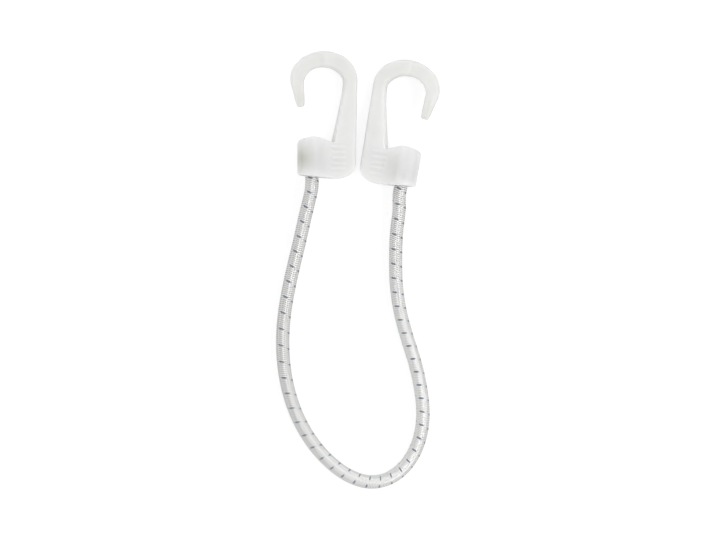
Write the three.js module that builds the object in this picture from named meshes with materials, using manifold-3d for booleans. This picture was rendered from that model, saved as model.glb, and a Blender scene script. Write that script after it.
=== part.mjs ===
import * as THREE from 'three';
import { mergeVertices } from 'three/addons/utils/BufferGeometryUtils.js';
import Module from 'manifold-3d';

// An elastic cord with a moulded plastic hook on each end, lying on a table in a long U.
// Sizes are in millimetres. X runs across the two hooks, Y from the loop of the cord up to
// the hooks and Z up from the table.
// A hook is drawn in its own frame first: Y is the axis of its barrel, with zero where the
// cord comes out of the foot, X points from the barrel to the stem and Z is its thickness.

// Cord: a braided sheath over a core of rubber threads
const cordDiameter = 8;
const sheathThickness = 0.8;
const cordTailLength = 5;
const cordStraightRun = 5;
const cordStepDiameters = 2;
const cordSides = 12;

// Clearance between two pieces that touch, and how far a cutter runs past what it cuts
const fitGap = 0.3;
const overrun = 4;

// Clip: a wire ring closed round the cord, resting on the barrel's floor
const clipWireDiameter = 1.6;
const clipOpeningDegrees = 24;
const clipSteps = 30;
const wireSides = 10;

// Barrel: bored for the cord from below, and open above it where the clip goes in
const barrelWall = 2.6;
const barrelFloor = 5;
const barrelSpring = 18.8;
const barrelDomeRise = 4.9;
const domeEndDegrees = 50;
const mouthFlareWidth = 0.8;
const mouthFlareDepth = 1.6;
const barrelSides = 60;
const boreSides = 36;

// Foot: it slopes down from the barrel's outer edge and turns up in a round at the back
const footSlopeDegrees = 6;
const footSlopeReach = 9.6;
const footOuterRound = 2.4;
const footBackRound = 10;
const footBackInset = 1.2;

// Block between barrel and stem: a wedge that thins towards the back, with a shoulder above
const wedgeInset = 3.2;
const wedgeThickness = 11.6;
const wedgeEndThickness = 8.8;
const wedgeFillet = 3;
const filletSteps = 6;
const notchHeight = 20.2;
const shoulderRise = 10.6;
const shoulderInset = 0.9;

// Grip ribs on both faces of the block
const ribPitch = 3.4;
const ribFirstHeight = 4.6;
const ribTopMargin = 1.8;
const ribBarrelMargin = 1.8;
const ribBackMargin = 2.8;
const ribWidth = 1.5;
const ribHeight = 0.35;
const ribCapSteps = 3;
const ribSides = 10;

// Arm: the stem, the arch over the throat, and the tip that comes down on the mouth's side
const hookHeight = 76.2;
const throatWidth = 24;
const archBackReach = 27.4;
const archRise = 18;
const archWidth = 9.7;
const archTurnDegrees = 190;
const stemFootDepth = 3;
const tipDrop = 12.5;
const tipLean = 2.1;
const tipRound = 0.8;
const armThickness = 8;
const armEdgeRound = 2.3;
const armRings = 76;
const armCornerSteps = 4;
const outlineSteps = 14;

// How the arm tapers along its centre line. Each row gives a share of the line's length, the
// width there as a share of the arch's width and the thickness as a share of the arm's.
const armTaperShares = [
  [0, 2.04, 1.14],
  [0.1, 1.755, 1.14],
  [0.205, 1.455, 1.12],
  [0.295, 1.24, 1.05],
  [0.368, 1.08, 1],
  [0.433, 0.92, 1],
  [0.493, 0.85, 1],
  [0.581, 1, 1],
  [0.682, 1, 1],
  [0.783, 0.96, 0.98],
  [0.855, 0.9, 0.93],
  [0.893, 0.79, 0.88],
  [0.929, 0.68, 0.84],
  [0.973, 0.6, 0.76],
  [1, 0.48, 0.66],
];
const stemTopWidthShare = 0.85;
const tipSideWidthShare = 0.84;
const stemBendShare = 0.85;

// Where each hook lies, seen from above: the line of its back edge and the foot of its
// barrel, and how far it leans over
const leftPlace = { backX: -4.5, footY: -34.5, leanDegrees: 0 };
const rightPlace = { backX: -6, footY: -40.1, leanDegrees: -10.3 };
const rollPasses = 40;

// The cord's route from the left hook round to the right one, seen from above
const cordRoute = [
  [-33.2, -47.1],
  [-35.5, -56.5],
  [-39.3, -73],
  [-43.3, -89.6],
  [-46.8, -106.2],
  [-49.1, -123.1],
  [-49.4, -140],
  [-47.4, -156.9],
  [-42.8, -173.3],
  [-35.4, -188.5],
  [-25, -202.1],
  [-16.8, -209.5],
  [-6.8, -215.4],
  [4.1, -217.8],
  [14.8, -215.3],
  [23.7, -208.5],
  [30, -198.9],
  [33.6, -187.9],
  [34.7, -176.4],
  [33.5, -163],
  [30, -146.7],
  [25.5, -132.1],
  [21.2, -116.2],
  [18.7, -99],
  [18.3, -82],
  [19.1, -65],
  [20.4, -52.6],
];

// How high the cord still lies near each hook, as a share of the way from the table up to
// the barrel's axis, counted from the end of the route
const settleShares = [0.97, 0.84, 0.46, 0.15, 0.04, 0.01];

// Sizes that follow from the ones above
const cordRadius = cordDiameter / 2;
const sheathInnerRadius = cordRadius - sheathThickness;
const coreRadius = sheathInnerRadius - fitGap;
const wireRadius = clipWireDiameter / 2;
const boreRadius = cordRadius + fitGap;
const clipRingRadius = boreRadius + wireRadius;
const pocketRadius = clipRingRadius + wireRadius + fitGap;
const barrelRadius = pocketRadius + barrelWall;
const barrelTop = barrelSpring + barrelDomeRise;
const clipHeight = barrelFloor + fitGap + wireRadius;
const cordTopHeight = clipHeight + wireRadius + cordTailLength;
const footSlope = THREE.MathUtils.degToRad(footSlopeDegrees);
const footDepth = footSlopeReach * Math.tan(footSlope);
const footBackReach = archBackReach - footBackInset;
const wedgeReach = footBackReach - wedgeInset;
const shoulderHeight = notchHeight + shoulderRise;
const ribCount = Math.floor((notchHeight - ribTopMargin - ribFirstHeight) / ribPitch) + 1;
const archCentreHeight = hookHeight - footDepth - archRise;

const wasm = await Module();
wasm.setup();

// A closed three.js geometry as a solid that can be joined and cut
function solid(geometry) {
  const bare = geometry.clone();
  bare.deleteAttribute('normal');
  bare.deleteAttribute('uv');
  const merged = mergeVertices(bare);
  const corners = merged.index.array;
  const triangles = [];
  for (let i = 0; i < corners.length; i += 3) {
    const [a, b, c] = corners.slice(i, i + 3);
    if (a !== b && b !== c && c !== a) triangles.push(a, b, c);
  }
  return new wasm.Manifold(new wasm.Mesh({
    numProp: 3,
    vertProperties: new Float32Array(merged.attributes.position.array),
    triVerts: new Uint32Array(triangles),
  }));
}

// A solid back as a three.js geometry
function geometryOf(body) {
  const { vertProperties, triVerts } = body.getMesh();
  const geometry = new THREE.BufferGeometry();
  geometry.setAttribute('position', new THREE.BufferAttribute(new Float32Array(vertProperties), 3));
  geometry.setIndex(new THREE.BufferAttribute(new Uint32Array(triVerts), 1));
  geometry.computeVertexNormals();
  return geometry;
}

// A closed body lofted through rings of points that all have the same count
function loft(rings) {
  const count = rings[0].length;
  const middles = [rings[0], rings.at(-1)].map((ring) =>
    ring.reduce((sum, point) => sum.add(point), new THREE.Vector3()).divideScalar(count));
  const points = [...rings.flat(), ...middles];
  const faces = [];
  const last = (rings.length - 1) * count;
  const firstMiddle = rings.length * count;
  for (let i = 0; i < count; i += 1) {
    const next = (i + 1) % count;
    for (let base = 0; base < last; base += count) {
      faces.push(base + i, base + count + next, base + next);
      faces.push(base + i, base + count + i, base + count + next);
    }
    faces.push(firstMiddle, i, next);
    faces.push(firstMiddle + 1, last + next, last + i);
  }
  const geometry = new THREE.BufferGeometry().setFromPoints(points);
  geometry.setIndex(faces);
  return geometry;
}

// An outline pushed out to a width, the same to each side of its own plane
function slab(outline, width) {
  const geometry = new THREE.ExtrudeGeometry(outline, {
    depth: width,
    bevelEnabled: false,
    curveSegments: outlineSteps,
  });
  return geometry.translate(0, 0, -width / 2);
}

// The arm's centre line: up the stem, over the arch and down the tip
function armCentreLine() {
  const backX = archBackReach - archWidth * stemTopWidthShare / 2;
  const mouthX = archBackReach - archWidth * stemTopWidthShare - throatWidth
    - archWidth * tipSideWidthShare / 2;
  const footX = footBackReach - archWidth * armTaperShares[0][1] / 2;
  const stemRise = archCentreHeight + stemFootDepth;
  const turn = THREE.MathUtils.degToRad(archTurnDegrees);
  const arch = new THREE.EllipseCurve(
    (backX + mouthX) / 2,
    archCentreHeight,
    (backX - mouthX) / 2,
    archRise - archWidth / 2,
    0,
    turn,
  );
  const archEnd = arch.getPoint(1);
  const line = new THREE.CurvePath();
  line.add(new THREE.QuadraticBezierCurve(
    new THREE.Vector2(footX, -stemFootDepth),
    new THREE.Vector2(backX, stemRise * stemBendShare - stemFootDepth),
    new THREE.Vector2(backX, archCentreHeight),
  ));
  line.add(arch);
  line.add(new THREE.LineCurve(archEnd, new THREE.Vector2(mouthX + tipLean, archEnd.y - tipDrop)));
  return line;
}

// Width and thickness of the arm at a share of its centre line
function armSizeAt(share) {
  const rows = armTaperShares;
  const next = Math.max(1, rows.findIndex((row) => row[0] >= share));
  const [before, after] = [rows[next - 1], rows[next]];
  const mix = (share - before[0]) / (after[0] - before[0]);
  return {
    width: archWidth * THREE.MathUtils.lerp(before[1], after[1], mix),
    thickness: armThickness * THREE.MathUtils.lerp(before[2], after[2], mix),
  };
}

// A point beside the centre line, towards the back edge where the distance is positive
function besideLine(line, share, distance) {
  const along = line.getTangent(share);
  return line.getPoint(share).add(new THREE.Vector2(along.y, -along.x).multiplyScalar(distance));
}

// Where the stem's back edge (side 1) or inner edge (side -1) stands at a height
function stemEdgeAt(height, side) {
  const line = armCentreLine();
  const edgePoint = (i) => {
    const share = i / armRings;
    return besideLine(line, share, side * armSizeAt(share).width / 2);
  };
  let above = 1;
  while (above < armRings && edgePoint(above).y < height) above += 1;
  const [low, high] = [edgePoint(above - 1), edgePoint(above)];
  return THREE.MathUtils.mapLinear(height, low.y, high.y, low.x, high.x);
}

// One ring of the arm: a rectangle with rounded corners, square to the centre line
function armRing(line, share, inset = 0) {
  const { width, thickness } = armSizeAt(share);
  const round = Math.min(armEdgeRound, width / 2, thickness / 2) - inset / 2;
  const acrossHalf = width / 2 - inset - round;
  const throughHalf = thickness / 2 - inset - round;
  const ring = [];
  for (let corner = 0; corner < 4; corner += 1) {
    const signX = corner === 0 || corner === 3 ? 1 : -1;
    const signZ = corner < 2 ? 1 : -1;
    for (let i = 0; i <= armCornerSteps; i += 1) {
      const angle = (corner + i / armCornerSteps) * Math.PI / 2;
      const point = besideLine(line, share, signX * acrossHalf + round * Math.cos(angle));
      ring.push(new THREE.Vector3(point.x, point.y, signZ * throughHalf + round * Math.sin(angle)));
    }
  }
  return ring;
}

function armGeometry() {
  const line = armCentreLine();
  const rings = [];
  for (let i = 0; i <= armRings; i += 1) {
    rings.push(armRing(line, i / armRings));
  }
  const down = line.getTangent(1).multiplyScalar(tipRound);
  const endRing = armRing(line, 1, tipRound);
  rings.push(endRing.map((point) => point.add(new THREE.Vector3(down.x, down.y, 0))));
  return loft(rings);
}

// The block's outline seen from above: the barrel's dome, the notch and the stem's shoulder
function blockOutline() {
  const domeEnd = THREE.MathUtils.degToRad(domeEndDegrees);
  const outline = new THREE.Shape();
  outline.moveTo(-barrelRadius - overrun, -footDepth - overrun);
  outline.lineTo(-barrelRadius - overrun, barrelSpring);
  outline.lineTo(-barrelRadius, barrelSpring);
  outline.absellipse(0, barrelSpring, barrelRadius, barrelDomeRise, Math.PI, domeEnd, true);
  outline.lineTo(stemEdgeAt(notchHeight, -1), notchHeight);
  outline.lineTo(stemEdgeAt(notchHeight, -1) + shoulderInset, notchHeight);
  outline.lineTo(stemEdgeAt(shoulderHeight, -1) + shoulderInset, shoulderHeight);
  outline.lineTo(wedgeReach + overrun, shoulderHeight);
  outline.lineTo(wedgeReach + overrun, -footDepth - overrun);
  return outline;
}

// How far the wedge's flank lies from the middle plane, and its slope, going towards the back
function flank() {
  const slope = (wedgeEndThickness - wedgeThickness) / 2 / wedgeReach;
  return { slope, at: (x) => wedgeThickness / 2 + slope * x };
}

// The wedge seen along the barrel, with a hollow fillet on each flank where it leaves the barrel
function wedgeSection() {
  const { slope, at } = flank();
  const turn = Math.atan(slope);
  const rise = at(0) + wedgeFillet / Math.cos(turn);
  const reach = barrelRadius + wedgeFillet;
  const bend = 1 + slope * slope;
  const centreX = (-rise * slope + Math.sqrt(reach * reach * bend - rise * rise)) / bend;
  const centreY = rise + slope * centreX;
  const onBarrel = Math.atan2(-centreY, -centreX);
  const onFlank = turn - Math.PI / 2;
  const side = Array.from({ length: filletSteps + 1 }, (_, i) => {
    const angle = THREE.MathUtils.lerp(onBarrel, onFlank, i / filletSteps);
    return new THREE.Vector2(
      centreX + wedgeFillet * Math.cos(angle),
      centreY + wedgeFillet * Math.sin(angle),
    );
  });
  side.push(new THREE.Vector2(wedgeReach, wedgeEndThickness / 2));
  const otherSide = side.map((point) => new THREE.Vector2(point.x, -point.y)).reverse();
  return new THREE.Shape([...side, ...otherSide]);
}

// The shoulder seen from the back: above the notch the block thins to the stem
function shoulderSection() {
  const stemHalf = armThickness / 2;
  const notchHalf = flank().at(stemEdgeAt(notchHeight, -1));
  const outline = new THREE.Shape();
  outline.moveTo(-barrelRadius, -footDepth - overrun);
  outline.lineTo(barrelRadius, -footDepth - overrun);
  outline.lineTo(barrelRadius, notchHeight);
  outline.lineTo(notchHalf, notchHeight);
  outline.lineTo(stemHalf, shoulderHeight);
  outline.lineTo(-stemHalf, shoulderHeight);
  outline.lineTo(-notchHalf, notchHeight);
  outline.lineTo(-barrelRadius, notchHeight);
  return outline;
}

// Everything above the foot's line, with the round at the back and the one under the barrel
function footOutline() {
  const side = archBackReach + throatWidth;
  const outerRise = barrelRadius * Math.tan(footSlope);
  const roundStart = barrelRadius - footOuterRound;
  const backRoundTop = footBackRound - footDepth;
  const backRoundX = stemEdgeAt(backRoundTop, 1) - footBackRound;
  const outline = new THREE.Shape();
  outline.moveTo(-side, hookHeight + overrun);
  outline.lineTo(-side, outerRise + footOuterRound);
  outline.lineTo(-barrelRadius, outerRise + footOuterRound);
  outline.quadraticCurveTo(-barrelRadius, outerRise, -roundStart, roundStart * Math.tan(footSlope));
  outline.lineTo(footSlopeReach, -footDepth);
  outline.lineTo(backRoundX, -footDepth);
  outline.absarc(backRoundX, backRoundTop, footBackRound, -Math.PI / 2, 0);
  outline.lineTo(side, backRoundTop);
  outline.lineTo(side, hookHeight + overrun);
  return outline;
}

// A rib lies along the flank with only its back standing out
function ribGeometry(height, side) {
  const { slope, at } = flank();
  const radius = ribWidth / 2;
  const [start, end] = [barrelRadius + ribBarrelMargin, wedgeReach - ribBackMargin];
  const length = (end - start) * Math.hypot(1, slope);
  const middle = (start + end) / 2;
  const rib = new THREE.CapsuleGeometry(radius, length - ribWidth, ribCapSteps, ribSides);
  rib.rotateZ(-Math.PI / 2);
  rib.rotateY(-side * Math.atan(slope));
  return rib.translate(middle, height, side * (at(middle) - (radius - ribHeight)));
}

// The bore for the cord, flared at the foot, and the pocket for the clip above it
function boreGeometry() {
  const profile = [
    [0, -footDepth - overrun],
    [boreRadius + mouthFlareWidth, -footDepth - overrun],
    [boreRadius + mouthFlareWidth, 0],
    [boreRadius, mouthFlareDepth],
    [boreRadius, barrelFloor],
    [pocketRadius, barrelFloor],
    [pocketRadius, barrelTop + overrun],
    [0, barrelTop + overrun],
  ];
  return new THREE.LatheGeometry(profile.map(([x, y]) => new THREE.Vector2(x, y)), boreSides);
}

function hookGeometry() {
  const tall = 2 * (barrelTop + overrun);
  const thick = 2 * (barrelRadius + overrun);
  const barrel = new THREE.CylinderGeometry(barrelRadius, barrelRadius, tall, barrelSides);
  const wedge = slab(wedgeSection(), 2 * (shoulderHeight + overrun)).rotateX(-Math.PI / 2);
  const shoulder = slab(shoulderSection(), 2 * (wedgeReach + overrun)).rotateY(Math.PI / 2);
  const block = solid(wedge).intersect(solid(shoulder));
  let hook = solid(barrel).add(block);
  hook = hook.intersect(solid(slab(blockOutline(), thick)));
  hook = hook.add(solid(armGeometry()));
  for (let i = 0; i < ribCount; i += 1) {
    for (const side of [-1, 1]) {
      hook = hook.add(solid(ribGeometry(ribFirstHeight + i * ribPitch, side)));
    }
  }
  hook = hook.intersect(solid(slab(footOutline(), thick)));
  return geometryOf(hook.subtract(solid(boreGeometry())));
}

// How far a hook rolls about its barrel before its back edge comes down on the table
function restingRoll(geometry) {
  const { array } = geometry.attributes.position;
  let low = 0;
  let high = Math.PI / 4;
  const touches = (roll) => {
    for (let i = 0; i < array.length; i += 3) {
      const lowest = Math.min(array[i + 2], -array[i + 2]) * Math.cos(roll) - array[i] * Math.sin(roll);
      if (array[i] > barrelRadius && lowest < -barrelRadius) return true;
    }
    return false;
  };
  for (let pass = 0; pass < rollPasses; pass += 1) {
    const middle = (low + high) / 2;
    if (touches(middle)) high = middle;
    else low = middle;
  }
  return low;
}

function circle(radius, sides) {
  return Array.from({ length: sides }, (_, i) => {
    const angle = (i / sides) * 2 * Math.PI;
    return new THREE.Vector2(radius * Math.cos(angle), radius * Math.sin(angle));
  });
}

// The clip's ring, from one end of the wire round to the other
function clipGeometry() {
  const opening = THREE.MathUtils.degToRad(clipOpeningDegrees);
  const points = Array.from({ length: clipSteps + 1 }, (_, i) => {
    const angle = opening / 2 + (i / clipSteps) * (2 * Math.PI - opening);
    return new THREE.Vector3(
      clipRingRadius * Math.cos(angle),
      clipHeight,
      clipRingRadius * Math.sin(angle),
    );
  });
  return new THREE.ExtrudeGeometry(new THREE.Shape(circle(wireRadius, wireSides)), {
    steps: clipSteps,
    extrudePath: new THREE.CatmullRomCurve3(points),
    bevelEnabled: false,
  });
}

const plastic = { color: 0xe6e6e3, roughness: 0.42, metalness: 0 };
const wire = { color: 0xb4b7ba, roughness: 0.38, metalness: 0.9 };
const yarn = { color: 0xe2e2e0, roughness: 0.85, metalness: 0 };
const rubber = { color: 0xc9bfa8, roughness: 0.7, metalness: 0 };

function namedMesh(name, geometry, finish) {
  const mesh = new THREE.Mesh(geometry, new THREE.MeshStandardMaterial(finish));
  mesh.name = name;
  return mesh;
}

// A hook and its clip, put down on the table with the barrel and the back edge touching it.
// The right hook is the same moulding turned over, so that its mouth faces the other way.
const hook = hookGeometry();
const clip = clipGeometry();
const roll = restingRoll(hook);

function placedEnd(side, place, turnedOver) {
  const rolled = new THREE.Group();
  rolled.add(namedMesh(`hook_${side}`, hook, plastic));
  rolled.rotation.y = turnedOver ? Math.PI - roll : roll;
  const end = new THREE.Group();
  end.add(rolled);
  end.add(namedMesh(`clip_${side}`, clip, wire));
  const exitX = place.backX + (turnedOver ? archBackReach : -archBackReach);
  end.position.set(exitX, place.footY, barrelRadius);
  end.rotation.z = THREE.MathUtils.degToRad(place.leanDegrees);
  end.updateMatrixWorld(true);
  return end;
}

const leftEnd = placedEnd('left', leftPlace, false);
const rightEnd = placedEnd('right', rightPlace, true);

// The cord's middle line: out of the left barrel, round the route and into the right barrel
function cordLine() {
  const onAxis = (end, height) => end.localToWorld(new THREE.Vector3(0, height, 0));
  const route = cordRoute.map(([x, y], i) => {
    const share = settleShares[Math.min(i, cordRoute.length - 1 - i)] ?? 0;
    return new THREE.Vector3(x, y, THREE.MathUtils.lerp(cordRadius, barrelRadius, share));
  });
  return new THREE.CatmullRomCurve3([
    onAxis(leftEnd, cordTopHeight),
    onAxis(leftEnd, 0),
    onAxis(leftEnd, -cordStraightRun),
    ...route,
    onAxis(rightEnd, -cordStraightRun),
    onAxis(rightEnd, 0),
    onAxis(rightEnd, cordTopHeight),
  ]);
}

function cordTube(section) {
  const line = cordLine();
  line.arcLengthDivisions = 1000;
  return new THREE.ExtrudeGeometry(section, {
    steps: Math.round(line.getLength() / (cordStepDiameters * cordDiameter)),
    extrudePath: line,
    bevelEnabled: false,
  });
}

const sheathSection = new THREE.Shape(circle(cordRadius, cordSides));
sheathSection.holes.push(new THREE.Path(circle(sheathInnerRadius, cordSides)));
const coreSection = new THREE.Shape(circle(coreRadius, cordSides));

const elasticCord = new THREE.Group();
elasticCord.add(leftEnd, rightEnd);
elasticCord.add(namedMesh('cord_sheath', cordTube(sheathSection), yarn));
elasticCord.add(namedMesh('cord_core', cordTube(coreSection), rubber));

export default elasticCord;
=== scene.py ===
import math

import bmesh
import bpy
import numpy as np
from mathutils import Matrix, Vector


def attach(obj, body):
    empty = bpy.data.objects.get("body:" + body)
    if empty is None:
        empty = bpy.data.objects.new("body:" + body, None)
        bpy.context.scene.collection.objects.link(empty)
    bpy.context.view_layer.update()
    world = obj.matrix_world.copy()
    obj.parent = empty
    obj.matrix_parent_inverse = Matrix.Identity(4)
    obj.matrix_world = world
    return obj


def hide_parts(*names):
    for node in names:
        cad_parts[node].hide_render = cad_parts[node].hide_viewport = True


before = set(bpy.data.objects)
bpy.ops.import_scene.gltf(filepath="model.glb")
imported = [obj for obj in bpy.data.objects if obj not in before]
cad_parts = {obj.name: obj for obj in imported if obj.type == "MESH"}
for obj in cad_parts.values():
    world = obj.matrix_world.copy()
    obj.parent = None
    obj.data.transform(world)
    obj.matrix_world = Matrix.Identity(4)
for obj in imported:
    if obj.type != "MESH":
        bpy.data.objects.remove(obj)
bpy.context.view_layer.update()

# Camera. It looks straight down on the cord, which lies on a table in a long U, from far
# enough away that the hooks show next to no perspective.
mm = 0.001
picture_width = 429.6 * mm
picture_middle = Vector((-4.3, -90.5, 6)) * mm

lens = bpy.data.cameras.new("camera")
lens.lens = 150
lens.sensor_width = 36
camera = bpy.data.objects.new("camera", lens)
bpy.context.collection.objects.link(camera)
camera.location = picture_middle + Vector((0, 0, picture_width * lens.lens / lens.sensor_width))
bpy.context.scene.camera = camera
bpy.context.scene.view_settings.view_transform = "Standard"


# Braided sheath. Sixteen flat bundles of white filament yarn run round the cord, eight each
# way, each passing over two and under two of the others. One bundle is dyed dark blue.
# The cord comes straight out of each barrel and settles down onto the table.
cord_diameter = 8 * mm
cord_in_barrel = 11.9 * mm
straight_run = 5 * mm
barrel_axis_height = 8.8 * mm
lying_height = 4.1 * mm
left_exit = Vector((-31.9 * mm, -34.5 * mm, barrel_axis_height))
right_exit = Vector((21.4 * mm, -40.1 * mm, barrel_axis_height))
left_lean = 0
right_lean = math.radians(-10.3)
route = [
    (-33.2, -47.1), (-35.5, -56.5), (-39.3, -73), (-43.3, -89.6), (-46.8, -106.2),
    (-49.1, -123.1), (-49.4, -140), (-47.4, -156.9), (-42.8, -173.3), (-35.4, -188.5),
    (-25, -202.1), (-16.8, -209.5), (-6.8, -215.4), (4.1, -217.8), (14.8, -215.3),
    (23.7, -208.5), (30, -198.9), (33.6, -187.9), (34.7, -176.4), (33.5, -163),
    (30, -146.7), (25.5, -132.1), (21.2, -116.2), (18.7, -99), (18.3, -82),
    (19.1, -65), (20.4, -52.6),
]
settle_shares = [0.97, 0.84, 0.46, 0.15, 0.04, 0.01]
spline_fineness = 4


def barrel_direction(lean):
    return Vector((-math.sin(lean), math.cos(lean), 0))


def route_points():
    """The points that the cord's middle line passes through, from the left pocket to the right."""
    points = []
    for i, (x, y) in enumerate(route):
        from_end = min(i, len(route) - 1 - i)
        share = settle_shares[from_end] if from_end < len(settle_shares) else 0
        height = lying_height + share * (barrel_axis_height - lying_height)
        points.append(Vector((x * mm, y * mm, height)))
    left_run = [left_exit + barrel_direction(left_lean) * d for d in (cord_in_barrel, 0, -straight_run)]
    right_run = [right_exit + barrel_direction(right_lean) * d for d in (-straight_run, 0, cord_in_barrel)]
    return np.array([tuple(p) for p in left_run + points + right_run])


def smooth_line(points, step):
    """A natural cubic spline through the points, as points an even step apart."""
    gap = np.linalg.norm(np.diff(points, axis=0), axis=1)
    system = np.eye(len(points))
    bend = np.zeros_like(points)
    for i in range(1, len(points) - 1):
        system[i, i - 1:i + 2] = gap[i - 1], 2 * (gap[i - 1] + gap[i]), gap[i]
        before, after = (points[i] - points[i - 1]) / gap[i - 1], (points[i + 1] - points[i]) / gap[i]
        bend[i] = 6 * (after - before)
    curvature = np.linalg.solve(system, bend)
    dense = []
    for i, width in enumerate(gap):
        u = np.linspace(0, width, max(2, int(spline_fineness * width / step)), endpoint=False)[:, None]
        v = width - u
        cubic = (curvature[i] * v ** 3 + curvature[i + 1] * u ** 3) / (6 * width)
        start = (points[i] / width - curvature[i] * width / 6) * v
        end = (points[i + 1] / width - curvature[i + 1] * width / 6) * u
        dense.append(cubic + start + end)
    dense = np.vstack(dense + [points[-1:]])
    return resampled(dense, np.arange(0, distance_along(dense)[-1], step))


def distance_along(points):
    return np.concatenate(([0], np.cumsum(np.linalg.norm(np.diff(points, axis=0), axis=1))))


def resampled(points, places):
    """The points at the given distances along a line."""
    along = distance_along(points)
    return np.stack([np.interp(places, along, points[:, k]) for k in range(3)], axis=1)


def unit(vectors):
    return vectors / np.linalg.norm(vectors, axis=1, keepdims=True)


def across(line):
    """Directions along a line, up from the table and out to its right, at each of its points."""
    forward = unit(np.gradient(line, axis=0))
    right = unit(np.cross(forward, (0, 0, 1)))
    return forward, np.cross(right, forward), right


yarns_each_way = 8
floats_per_turn = yarns_each_way // 2
yarn_width = 1.04 * mm
tracer_width = 0.74 * mm
yarn_thickness = 0.44 * mm
yarn_section_shares = [(1, 0), (0.86, 0.66), (0.45, 0.97), (-0.45, 0.97), (-0.86, 0.66), (-1, 0), (0, -0.9)]
crown_height = 0.12 * mm
sheath_middle = cord_diameter / 2 + crown_height - yarn_thickness
float_sharpness = 2.0
float_flatness = 0.5
steps_per_turn = 32
fine_step = 0.25 * mm
lay_places = np.array([12, 60, 120, 155, 190, 225, 242, 262, 320, 375, 417]) * mm
lay_lengths = np.array([8.8, 9.3, 9.9, 9.0, 8.3, 6.8, 7.0, 8.1, 8.1, 8.8, 9.2]) * mm
column_places = np.array([150, 175, 210, 240, 320, 350, 380, 415]) * mm
column_angles = np.radians([16, 26, 32, 79, 80, 65, 66, 75])
tracer_turn = -0.427
weld_distance = 0.001 * mm

fine_line = smooth_line(route_points(), fine_step)
fine_place = distance_along(fine_line)
turn_rate = np.interp(fine_place, lay_places, 1 / lay_lengths)
fine_turns = np.concatenate(([0], np.cumsum(np.diff(fine_place) * (turn_rate[1:] + turn_rate[:-1]) / 2)))
turns = np.arange(0, fine_turns[-1], 1 / steps_per_turn)
cord_place = np.interp(turns, fine_turns, fine_place)
line = resampled(fine_line, cord_place)
forward, upward, rightward = across(line)
column_turn = np.interp(cord_place, column_places, column_angles)
turn_rate_here = np.interp(cord_place, lay_places, 1 / lay_lengths)


def yarn_line(index, way):
    """One yarn's middle line and the direction out of the cord at each point. way is 1 or -1."""
    around = 2 * math.pi * index / yarns_each_way
    if way > 0:
        around += math.pi / yarns_each_way
    own_turn = around + way * 2 * math.pi * (turns + tracer_turn)
    rise = np.tanh(float_sharpness * np.cos(floats_per_turn * own_turn)) / math.tanh(float_sharpness)
    radius = sheath_middle - way * rise * yarn_thickness / 2
    angle = column_turn + own_turn
    outward = np.cos(angle)[:, None] * upward + np.sin(angle)[:, None] * rightward
    float_rate = 2 * math.pi * floats_per_turn * turn_rate_here
    slip = float_flatness / float_rate * np.sin(floats_per_turn * own_turn)
    return line + radius[:, None] * outward + slip[:, None] * forward, outward


def wrapped_grid(bm, middles, outward, width, thickness, section, uv_layer):
    """Wraps a grid round a line into a closed tube. The section is in shares of half its size."""
    rings, sides = len(middles), len(section)
    along = unit(np.gradient(middles, axis=0))
    side = unit(np.cross(along, outward))
    out = np.cross(side, along)
    wide, high = np.array(section + section[:1]).T
    spread = wide[None, :, None] * side[:, None] * width / 2
    spread = spread + high[None, :, None] * out[:, None] * thickness / 2
    places = middles[:, None] + spread
    travel = distance_along(middles)
    grid = bmesh.ops.create_grid(bm, x_segments=rings - 1, y_segments=sides, size=1)["verts"]
    for vert in grid:
        column = int(round((vert.co.x + 1) / 2 * (rings - 1)))
        row = int(round((vert.co.y + 1) / 2 * sides))
        vert.co = places[column, row]
        for loop in vert.link_loops:
            loop[uv_layer].uv = (travel[column] / mm, row / sides)
    return grid


def finished(bm, name, smooth=True):
    """A bmesh as an object that sits at the origin."""
    mesh = bpy.data.meshes.new(name)
    bm.to_mesh(mesh)
    bm.free()
    for face in mesh.polygons:
        face.use_smooth = smooth
    piece = bpy.data.objects.new(name, mesh)
    bpy.context.collection.objects.link(piece)
    return piece


def tubes(name, lines, width, thickness, section):
    """Closed tubes of one section along several lines, as one piece."""
    bm = bmesh.new()
    uv_layer = bm.loops.layers.uv.new("yarn")
    for middles, outward in lines:
        grid = wrapped_grid(bm, middles, outward, width, thickness, section, uv_layer)
        bmesh.ops.remove_doubles(bm, verts=grid, dist=weld_distance)
    ends = [edge for edge in bm.edges if edge.is_boundary]
    bmesh.ops.holes_fill(bm, edges=ends, sides=len(section))
    bmesh.ops.recalc_face_normals(bm, faces=bm.faces)
    return finished(bm, name)


left_yarns = [yarn_line(i, -1) for i in range(1, yarns_each_way)]
right_yarns = [yarn_line(i, 1) for i in range(yarns_each_way)]
sheath_left = tubes("sheath_yarns_left", left_yarns, yarn_width, yarn_thickness, yarn_section_shares)
sheath_right = tubes("sheath_yarns_right", right_yarns, yarn_width, yarn_thickness, yarn_section_shares)
tracer = tubes("sheath_tracer_yarn", [yarn_line(0, -1)], tracer_width, yarn_thickness, yarn_section_shares)

filaments_in_yarn = 15.0
filament_waver = 0.8
waver_scale = 1.3
fibre_stretch = 0.7
fibres_round_yarn = 40.0
filament_height = 0.3
fibre_dark_at = 0.3
fibre_light_at = 0.7
fibre_tone_share = 0.4
crown_reach = 0.75
bump_depth = 0.05 * mm
yarn_relief = 0.8
# The deep colours are painted shade between the yarns, and the crowns are the yarns' own colour
white_shade_and_dark_fibre = (0.19, 0.19, 0.18, 1)
white_crown = (0.70, 0.70, 0.685, 1)
blue_shade_and_dark_fibre = (0.057, 0.075, 0.12, 1)
blue_crown = (0.205, 0.252, 0.34, 1)


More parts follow.
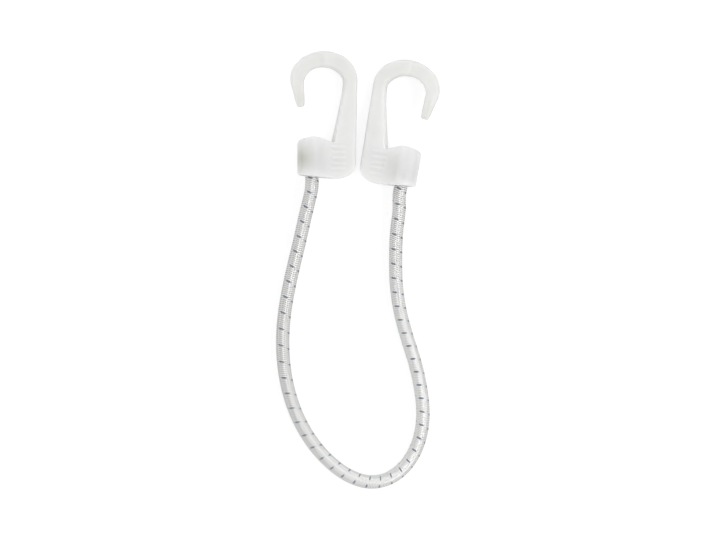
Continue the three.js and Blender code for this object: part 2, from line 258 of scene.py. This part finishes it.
class Nodes:
    """A node tree with short calls for adding a node, joining sockets and setting values."""

    def __init__(self, tree):
        self.tree = tree
        self.tree.nodes.clear()

    def add(self, kind, values=(), **settings):
        node = self.tree.nodes.new(kind)
        for name, value in settings.items():
            setattr(node, name, value)
        for name, value in dict(values).items():
            if isinstance(value, bpy.types.NodeSocket):
                self.tree.links.new(value, node.inputs[name])
            else:
                node.inputs[name].default_value = value
        return node

    def mix(self, factor, first, second):
        node = self.add("ShaderNodeMix", data_type="RGBA")
        for name, value in (("Factor_Float", factor), ("A_Color", first), ("B_Color", second)):
            socket = next(s for s in node.inputs if s.identifier == name)
            if isinstance(value, bpy.types.NodeSocket):
                self.tree.links.new(value, socket)
            else:
                socket.default_value = value
        return next(s for s in node.outputs if s.identifier == "Result_Color")

    def math(self, operation, *values):
        node = self.add("ShaderNodeMath", operation=operation)
        for socket, value in zip(node.inputs, values):
            if isinstance(value, bpy.types.NodeSocket):
                self.tree.links.new(value, socket)
            else:
                socket.default_value = value
        return node.outputs[0]

    def ramp(self, value, low, high):
        node = self.add("ShaderNodeMapRange", {"Value": value, "From Min": low, "From Max": high})
        return node.outputs["Result"]

    def noise(self, place, scale, detail=3.0):
        values = {"Vector": place, "Scale": scale, "Detail": detail}
        return self.add("ShaderNodeTexNoise", values).outputs[0]

    def object_place(self):
        return self.add("ShaderNodeTexCoord").outputs["Object"]


def material(name, base, roughness, **settings):
    """A material with its Principled shader's own values set; returns it with its nodes.

    The base colour and roughness hold wherever no pattern is joined to them.
    """
    made = bpy.data.materials.new(name)
    made.use_nodes = True
    made.diffuse_color = base
    nodes = Nodes(made.node_tree)
    values = {"Base Color": base, "Roughness": roughness}
    values.update({key.replace("_", " "): value for key, value in settings.items()})
    shader = nodes.add("ShaderNodeBsdfPrincipled", values)
    nodes.add("ShaderNodeOutputMaterial", {"Surface": shader.outputs[0]})
    return made, nodes, shader


def joined(nodes, value, socket):
    nodes.tree.links.new(value, socket)


def bumped(nodes, shader, height, strength):
    """Gives a shader a fine relief."""
    bump = nodes.add("ShaderNodeBump", {"Height": height, "Strength": strength, "Distance": bump_depth})
    joined(nodes, bump.outputs[0], shader.inputs["Normal"])


def yarn_filaments():
    """A group for filament yarn: fine threads along each yarn, uneven in height and in tone, with painted
    shade down each yarn's sides where it meets its neighbours.
    """
    group = bpy.data.node_groups.new("yarn filaments", "ShaderNodeTree")
    for name, value in (("Filaments", filaments_in_yarn), ("Unevenness", filament_waver)):
        socket = group.interface.new_socket(name, in_out="INPUT", socket_type="NodeSocketFloat")
        socket.default_value = value
    for name in ("Height", "Painted shade and tone"):
        group.interface.new_socket(name, in_out="OUTPUT", socket_type="NodeSocketFloat")
    nodes = Nodes(group)
    inputs = nodes.add("NodeGroupInput")
    uv = nodes.add("ShaderNodeUVMap", uv_map="yarn")
    split = nodes.add("ShaderNodeSeparateXYZ", {"Vector": uv.outputs[0]})
    along, round_it = split.outputs["X"], split.outputs["Y"]
    waver = nodes.noise(uv.outputs[0], waver_scale, detail=2.0)
    shift = nodes.math("MULTIPLY", waver, inputs.outputs["Unevenness"])
    count = nodes.math("MULTIPLY", round_it, inputs.outputs["Filaments"])
    wave = nodes.math("SINE", nodes.math("MULTIPLY", nodes.math("ADD", count, shift), 2 * math.pi))
    place = nodes.add("ShaderNodeCombineXYZ", {
        "X": nodes.math("MULTIPLY", along, fibre_stretch),
        "Y": nodes.math("MULTIPLY", round_it, fibres_round_yarn),
    })
    fibre = nodes.noise(place.outputs[0], 1.0)
    height = nodes.math("ADD", nodes.math("MULTIPLY", wave, filament_height), fibre)
    output = nodes.add("NodeGroupOutput")
    joined(nodes, height, output.inputs["Height"])
    crown = nodes.math("SINE", nodes.math("MULTIPLY", round_it, 2 * math.pi))
    # Painted shade: each yarn darkens towards its sides, between it and its neighbours
    painted_side_shade = nodes.ramp(crown, 0.0, crown_reach)
    fibre_ramp = nodes.ramp(fibre, fibre_dark_at, fibre_light_at)
    fibre_tone = nodes.math("MULTIPLY", fibre_ramp, fibre_tone_share)
    evened_tone = nodes.math("ADD", fibre_tone, 1 - fibre_tone_share)
    joined(nodes, nodes.math("MULTIPLY", painted_side_shade, evened_tone), output.inputs["Painted shade and tone"])
    return group


filaments = yarn_filaments()


def yarn_material(name, dark, light, roughness, **settings):
    """Dark is the painted shade deep between two yarns, which the darker fibres also lean to, and light the
    tone on a yarn's crown.
    """
    made, nodes, shader = material(name, light, roughness, **settings)
    group = nodes.add("ShaderNodeGroup", node_tree=filaments)
    joined(nodes, nodes.mix(group.outputs["Painted shade and tone"], dark, light), shader.inputs["Base Color"])
    bumped(nodes, shader, group.outputs["Height"], yarn_relief)
    return made


white_yarn = yarn_material(
    "white_yarn", white_shade_and_dark_fibre, white_crown, roughness=0.30, Specular_IOR_Level=1.0, IOR=2.5,
)
blue_yarn = yarn_material(
    "dark_blue_yarn", blue_shade_and_dark_fibre, blue_crown, roughness=0.38, Specular_IOR_Level=0.8, IOR=1.6,
)
for piece, finish in ((sheath_left, white_yarn), (sheath_right, white_yarn), (tracer, blue_yarn)):
    piece.data.materials.append(finish)
    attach(piece, "cord")
    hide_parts("cord_sheath")


# Core. A bundle of round rubber threads, laid straight and packed tight, which gives the cord its
# stretch. It shows at the cord's cut ends, inside the barrels.
core_radius = 2.85 * mm
core_rings = 3
core_step = 2.2 * mm
ring_corners = 6
ring_corner_angle = 2 * math.pi / ring_corners
thread_radius = core_radius / (2 * core_rings + 1)
thread_sides = 7
rubber_plain = (0.62, 0.52, 0.36, 1)
rubber_dark = (0.50, 0.40, 0.26, 1)
rubber_light = (0.72, 0.63, 0.46, 1)
rubber_grain = 900.0
rubber_roughness = 0.65
rubber_relief = 0.3

core_line = smooth_line(route_points(), core_step)
_, core_up, core_right = across(core_line)
thread_section_shares = [
    (math.cos(2 * math.pi * k / thread_sides), math.sin(2 * math.pi * k / thread_sides))
    for k in range(thread_sides)
]
threads = []
for ring in range(core_rings + 1):
    for k in range(max(1, ring_corners * ring)):
        corner, part = divmod(k, max(1, ring))
        first = Vector((1, 0)) @ Matrix.Rotation(ring_corner_angle * corner, 2)
        second = Vector((1, 0)) @ Matrix.Rotation(ring_corner_angle * (corner + 1), 2)
        spot = (first * (ring - part) + second * part) * 2 * thread_radius
        threads.append((core_line + spot.x * core_right + spot.y * core_up, core_up))
core = tubes("core_threads", threads, 2 * thread_radius, 2 * thread_radius, thread_section_shares)


def rubber_material():
    made, nodes, shader = material("natural_rubber", rubber_plain, rubber_roughness)
    grain = nodes.noise(nodes.object_place(), rubber_grain)
    joined(nodes, nodes.mix(grain, rubber_dark, rubber_light), shader.inputs["Base Color"])
    bumped(nodes, shader, grain, rubber_relief)
    return made


core.data.materials.append(rubber_material())
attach(core, "cord")
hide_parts("cord_core")


# Clips. A short length of plated steel wire is closed round each end of the cord and keeps it from
# slipping out through the barrel's floor.
wire_diameter = 1.6 * mm
clip_radius = 5.1 * mm
clip_height = 6.1 * mm
clip_opening = math.radians(24)
clip_steps = 60
wire_sides = 16
steel_plain = (0.62, 0.63, 0.64, 1)
steel_dark = (0.52, 0.53, 0.54, 1)
steel_light = (0.70, 0.71, 0.72, 1)
steel_grain = 1500.0
steel_roughness = 0.3
steel_smoothest = 0.2
steel_unevenness = 0.25


def wire_clip(name, exit_point, lean):
    """The wire's round section is spun most of the way round the cord."""
    bm = bmesh.new()
    bmesh.ops.create_circle(bm, cap_ends=True, segments=wire_sides, radius=wire_diameter / 2)
    bmesh.ops.translate(bm, verts=bm.verts, vec=(clip_radius, 0, 0))
    bmesh.ops.rotate(bm, verts=bm.verts, matrix=Matrix.Rotation(math.pi / 2, 3, "X"))
    bmesh.ops.spin(
        bm, geom=bm.faces[:], cent=(0, 0, 0), axis=(0, 0, 1), dvec=(0, 0, 0),
        angle=2 * math.pi - clip_opening, steps=clip_steps, use_duplicate=False,
    )
    bmesh.ops.recalc_face_normals(bm, faces=bm.faces)
    turn = Matrix.Rotation(lean, 4, "Z") @ Matrix.Rotation(-math.pi / 2, 4, "X")
    start = Matrix.Rotation(clip_opening / 2, 4, "Z")
    place = Matrix.Translation(exit_point + barrel_direction(lean) * clip_height)
    bmesh.ops.transform(bm, matrix=place @ turn @ start, verts=bm.verts)
    return finished(bm, name)


def steel_material():
    made, nodes, shader = material("plated_steel", steel_plain, steel_roughness, Metallic=1.0)
    grain = nodes.noise(nodes.object_place(), steel_grain)
    rough = nodes.math("ADD", nodes.math("MULTIPLY", grain, steel_unevenness), steel_smoothest)
    joined(nodes, rough, shader.inputs["Roughness"])
    joined(nodes, nodes.mix(grain, steel_dark, steel_light), shader.inputs["Base Color"])
    return made


plated_steel = steel_material()
for side, exit_point, lean in (("left", left_exit, left_lean), ("right", right_exit, right_lean)):
    clip = wire_clip(side + "_wire_clip", exit_point, lean)
    clip.data.materials.append(plated_steel)
    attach(clip, "cord")
    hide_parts("clip_" + side)


# Hooks. Each is one injection moulding in satin white plastic that lets some light through: a
# barrel for the cord, a ribbed wedge to hold it by, a stem, an arch and a tapered tip.
moulding_voxel = 0.3 * mm
moulding_rounds = 8
moulding_ease = 0.5

# How a hook lies, rolled about its barrel, and the section of its solid across the barrel
hook_roll = math.radians(10.32)
barrel_radius = 8.8 * mm
groove_fillet = 3 * mm
wedge_half_depth = 5.8 * mm
wedge_taper = 0.061
fairing_start = 3.6 * mm
fairing_end = 15.2 * mm

# Grip ribs, by height above the foot and by reach from the barrel's axis
rib_pitch = 3.4 * mm
rib_first = 4.6 * mm
rib_count = 5
rib_lift = 0.12 * mm
rib_start = 10.0 * mm
rib_end = 20.6 * mm
rib_run_out = 2 * mm
# Painted shade in the grooves between the ribs
rib_groove_shade = 0.085
flat_facing = 0.8
flat_easing = 0.1

# Painted shade on the plastic: a darker patch on the barrel's side away from the lamp, where the cord's end
# also shows through, and a greyer tip and arch
shade_radius = 11 * mm
shade_edge = 5 * mm
shade_aside = 4 * mm
shade_height = 11 * mm
shade_spread = 6.5 * mm
left_shade = 1.0
right_shade = 0.2
tip_reach = -7 * mm
tip_height = 43.4 * mm
tip_spread = 13 * mm
tip_shade = 0.45
arch_start = 44 * mm
arch_spread = 14 * mm
arch_shade = 0.16

# The plastic's colours with the grey of its painted shade, how it passes light on, its cloudiness and its
# fine grain
plastic_plain = (0.82, 0.82, 0.815, 1)
plastic_dark = (0.735, 0.735, 0.73, 1)
plastic_light = (0.80, 0.80, 0.795, 1)
plastic_painted_shade = (0.56, 0.56, 0.515, 1)
plastic_scatter = (1.0, 0.98, 0.94)
plastic_scatter_reach = 8 * mm
plastic_cloud = 90.0
plastic_grain = 1200.0
plastic_smoothest = 0.4
plastic_unevenness = 0.12
plastic_roughness = 0.45
plastic_relief = 0.15


def moulded_hook(name, node):
    """The solid's facets are melted together, so that its corners ease into one another."""
    bm = bmesh.new()
    bm.from_mesh(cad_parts[node].data)
    bmesh.ops.remove_doubles(bm, verts=bm.verts, dist=weld_distance)
    hook = finished(bm, name)
    melt = hook.modifiers.new("melt", "REMESH")
    melt.mode = "VOXEL"
    melt.voxel_size = moulding_voxel
    melt.use_smooth_shade = True
    ease = hook.modifiers.new("ease", "SMOOTH")
    ease.factor = moulding_ease
    ease.iterations = moulding_rounds
    melted = hook.evaluated_get(bpy.context.evaluated_depsgraph_get())
    shape = bpy.data.meshes.new_from_object(melted)
    hook.modifiers.clear()
    hook.data = shape
    for face in shape.polygons:
        face.use_smooth = True
    return hook


def read_points(hook, kind):
    """The places (co) or directions (normal) of a hook's points."""
    values = np.empty(3 * len(hook.data.vertices))
    hook.data.vertices.foreach_get(kind, values)
    return values.reshape(-1, 3)


def rise_direction(lean, back):
    """Square to the wedge's flat face. The hook lies rolled, with its back edge on the table."""
    level = back * np.array((math.cos(lean), math.sin(lean), 0))
    return math.cos(hook_roll) * np.array((0, 0, 1)) + math.sin(hook_roll) * level


def hook_places(hook, exit_point, lean, back):
    """The points, and each one's height above the foot, reach from barrel to back and rise."""
    places = read_points(hook, "co")
    away = places - np.array(exit_point)
    along = np.array(barrel_direction(lean))
    rise = rise_direction(lean, back)
    return places, away @ along, away @ (back * np.cross(along, rise)), away @ rise


def put_points(hook, places):
    hook.data.vertices.foreach_set("co", places.ravel())
    hook.data.update()


def half_depth(reach):
    """How far the solid's face lies from its middle plane, at the barrel, the groove or the wedge."""
    apart = barrel_radius + groove_fillet
    steep = math.hypot(1, wedge_taper)
    lift = wedge_half_depth + groove_fillet * steep
    centre = (wedge_taper * lift + math.sqrt((steep * apart) ** 2 - lift ** 2)) / steep ** 2
    barrel = np.sqrt(np.maximum(barrel_radius ** 2 - reach ** 2, 0))
    hollow = np.sqrt(np.maximum(groove_fillet ** 2 - (reach - centre) ** 2, 0))
    groove = lift - wedge_taper * centre - hollow
    wedge = wedge_half_depth - wedge_taper * reach
    past_barrel = reach > centre * barrel_radius / apart
    past_groove = reach > centre - groove_fillet * wedge_taper / steep
    return np.where(past_groove, wedge, np.where(past_barrel, groove, barrel))


def fair_barrel(hook, exit_point, lean, back):
    """Fills the groove beside the barrel with a cubic, from the barrel's slope to the wedge's."""
    places, _, reach, rise = hook_places(hook, exit_point, lean, back)
    span = fairing_end - fairing_start
    u = np.clip((reach - fairing_start) / span, 0, 1)
    start, end = half_depth(np.array((fairing_start, fairing_end)))
    fair = (2 * u ** 3 - 3 * u ** 2 + 1) * start + (3 * u ** 2 - 2 * u ** 3) * end
    fair = fair - (u ** 3 - 2 * u ** 2 + u) * span * fairing_start / start
    fair = fair - (u ** 3 - u ** 2) * span * wedge_taper
    solid = half_depth(reach.clip(fairing_start, fairing_end))
    swell = np.where((u > 0) & (u < 1), fair / solid, 1)
    put_points(hook, places + np.outer(rise * (swell - 1), rise_direction(lean, back)))


def rib_shares(height, reach, facing):
    """How much each point belongs to the ribbed patches, and how far up a rib it lies."""
    nearest = np.clip(np.round((height - rib_first) / rib_pitch), 0, rib_count - 1)
    from_rib = (height - rib_first) / rib_pitch - nearest
    crown = (1 + np.cos(2 * math.pi * np.clip(from_rib, -1 / 2, 1 / 2))) / 2
    ends = np.clip(np.minimum(reach - rib_start, rib_end - reach) / rib_run_out, 0, 1)
    flat = np.clip((np.abs(facing) - flat_facing) / flat_easing, 0, 1)
    return ends * flat * (np.abs(from_rib) < 1 / 2), crown


def raise_ribs(hook, exit_point, lean, back):
    """Lifts the grip ribs again, because melting has sunk them, on both faces of the wedge."""
    places, height, reach, _ = hook_places(hook, exit_point, lean, back)
    facing = read_points(hook, "normal") @ rise_direction(lean, back)
    patch, crown = rib_shares(height, reach, facing)
    lift = np.sign(facing) * rib_lift * patch * crown
    put_points(hook, places + np.outer(lift, rise_direction(lean, back)))


def mark_painted_shade(hook, exit_point, lean, back, amount):
    """Writes where painted shade greys the plastic: on the barrel's side away from the lamp, where the
    cord's end also shows through, at tip and arch, and between the ribs.
    """
    _, height, reach, rise = hook_places(hook, exit_point, lean, back)
    # Painted shade on the barrel's side away from the lamp, where the cord's end also shows through
    radius = np.hypot(reach + back * shade_aside, rise)
    near = np.clip((shade_radius - radius) / shade_edge, 0, 1)
    barrel = amount * near * np.exp(-((height - shade_height) / shade_spread) ** 2)
    # Painted shade that greys the tip and the arch
    from_tip = np.hypot(reach - tip_reach, height - tip_height)
    tip = tip_shade * np.exp(-(from_tip / tip_spread) ** 2)
    arch = arch_shade * np.clip((height - arch_start) / arch_spread, 0, 1)
    facing = read_points(hook, "normal") @ rise_direction(lean, back)
    patch, crown = rib_shares(height, reach, facing)
    # Painted shade in the grooves between the ribs
    grooves = rib_groove_shade * patch * (1 - crown)
    shade = np.clip(barrel + np.maximum(tip, arch) + grooves, 0, 1)
    hook.data.attributes.new("painted_shade_and_show_through", "FLOAT", "POINT").data.foreach_set("value", shade)


def plastic_material():
    made, nodes, shader = material(
        "satin_white_plastic", plastic_plain, plastic_roughness, Specular_IOR_Level=0.3,
        Subsurface_Weight=1.0, Subsurface_Radius=plastic_scatter, Subsurface_Scale=plastic_scatter_reach,
    )
    place = nodes.object_place()
    shade_share = nodes.add("ShaderNodeAttribute", attribute_name="painted_shade_and_show_through")
    cloudy = nodes.mix(nodes.noise(place, plastic_cloud), plastic_dark, plastic_light)
    # Painted shade: the plastic is mixed towards a grey by the point attribute
    joined(nodes, nodes.mix(shade_share.outputs["Fac"], cloudy, plastic_painted_shade), shader.inputs["Base Color"])
    grain = nodes.noise(place, plastic_grain, detail=2.0)
    rough = nodes.math("ADD", nodes.math("MULTIPLY", grain, plastic_unevenness), plastic_smoothest)
    joined(nodes, rough, shader.inputs["Roughness"])
    bumped(nodes, shader, grain, plastic_relief)
    return made


satin_plastic = plastic_material()
for side, exit_point, lean, back, shade in (
    ("left", left_exit, left_lean, 1, left_shade),
    ("right", right_exit, right_lean, -1, right_shade),
):
    hook = moulded_hook(side + "_hook_moulding", "hook_" + side)
    fair_barrel(hook, exit_point, lean, back)
    raise_ribs(hook, exit_point, lean, back)
    mark_painted_shade(hook, exit_point, lean, back, shade)
    hook.data.materials.clear()
    hook.data.materials.append(satin_plastic)
    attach(hook, "hook_" + side)
    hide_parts("hook_" + side)


# Table and light. The table is plain white. A long soft lamp stands on the right. The white room
# fills in from the other sides, more from low down than from overhead and most from the left.
table_size = 3.0
lamp_length = 3.0
lamp_width = 0.5
lamp_power = 17
lamp_place = Vector((0.88, 0, 1.05))
room_overhead = 0.6
room_sides = 0.74
room_left = 0.6
white = (1, 1, 1, 1)
table_white = (0.85, 0.85, 0.85, 1)
shadow_white = (0.28, 0.28, 0.28, 1)
table_glow = 0.8

bm = bmesh.new()
bmesh.ops.create_grid(bm, x_segments=1, y_segments=1, size=table_size)
table = finished(bm, "table", smooth=False)


def seen_white(nodes):
    """1 for what is seen directly, in a gloss or through clear plastic, and 0 for the light given."""
    path = nodes.add("ShaderNodeLightPath")
    seen = nodes.math("MAXIMUM", path.outputs["Is Camera Ray"], path.outputs["Is Glossy Ray"])
    return nodes.math("MAXIMUM", seen, path.outputs["Is Transmission Ray"])


def table_material():
    """It gives light as white card does, and what is seen of it is white with a faint shadow."""
    made = bpy.data.materials.new("white_table")
    made.use_nodes = True
    nodes = Nodes(made.node_tree)
    matt = nodes.add("ShaderNodeBsdfDiffuse", {"Color": table_white})
    faint = nodes.add("ShaderNodeBsdfDiffuse", {"Color": shadow_white})
    glow = nodes.add("ShaderNodeEmission", {"Color": white, "Strength": table_glow})
    both = nodes.add("ShaderNodeAddShader")
    joined(nodes, faint.outputs[0], both.inputs[0])
    joined(nodes, glow.outputs[0], both.inputs[1])
    mix = nodes.add("ShaderNodeMixShader", {"Fac": seen_white(nodes)})
    joined(nodes, matt.outputs[0], mix.inputs[1])
    joined(nodes, both.outputs[0], mix.inputs[2])
    nodes.add("ShaderNodeOutputMaterial", {"Surface": mix.outputs[0]})
    return made


table.data.materials.append(table_material())

room = bpy.data.worlds.new("room")
room.use_nodes = True
bpy.context.scene.world = room
room_nodes = Nodes(room.node_tree)
direction = room_nodes.add("ShaderNodeTexCoord").outputs["Generated"]
parts = room_nodes.add("ShaderNodeSeparateXYZ", {"Vector": direction}).outputs
from_left = room_nodes.math("MULTIPLY", parts["X"], -room_left)
from_above = room_nodes.add("ShaderNodeMapRange", {
    "Value": parts["Z"], "To Min": room_sides, "To Max": room_overhead,
})
brightness = room_nodes.math("ADD", from_above.outputs[0], from_left)
room_light = room_nodes.add("ShaderNodeBackground", {"Color": white, "Strength": brightness})
room_seen = room_nodes.add("ShaderNodeBackground", {"Color": white, "Strength": 1.0})
room_mix = room_nodes.add("ShaderNodeMixShader", {"Fac": seen_white(room_nodes)})
joined(room_nodes, room_light.outputs[0], room_mix.inputs[1])
joined(room_nodes, room_seen.outputs[0], room_mix.inputs[2])
room_nodes.add("ShaderNodeOutputWorld", {"Surface": room_mix.outputs[0]})

lamp_data = bpy.data.lights.new("soft_lamp", "AREA")
lamp_data.shape = "RECTANGLE"
lamp_data.size = lamp_length
lamp_data.size_y = lamp_width
lamp_data.energy = lamp_power
lamp = bpy.data.objects.new("soft_lamp", lamp_data)
bpy.context.collection.objects.link(lamp)
lamp.location = picture_middle + lamp_place
lamp.rotation_euler = (-lamp_place).to_track_quat("-Z", "Y").to_euler()
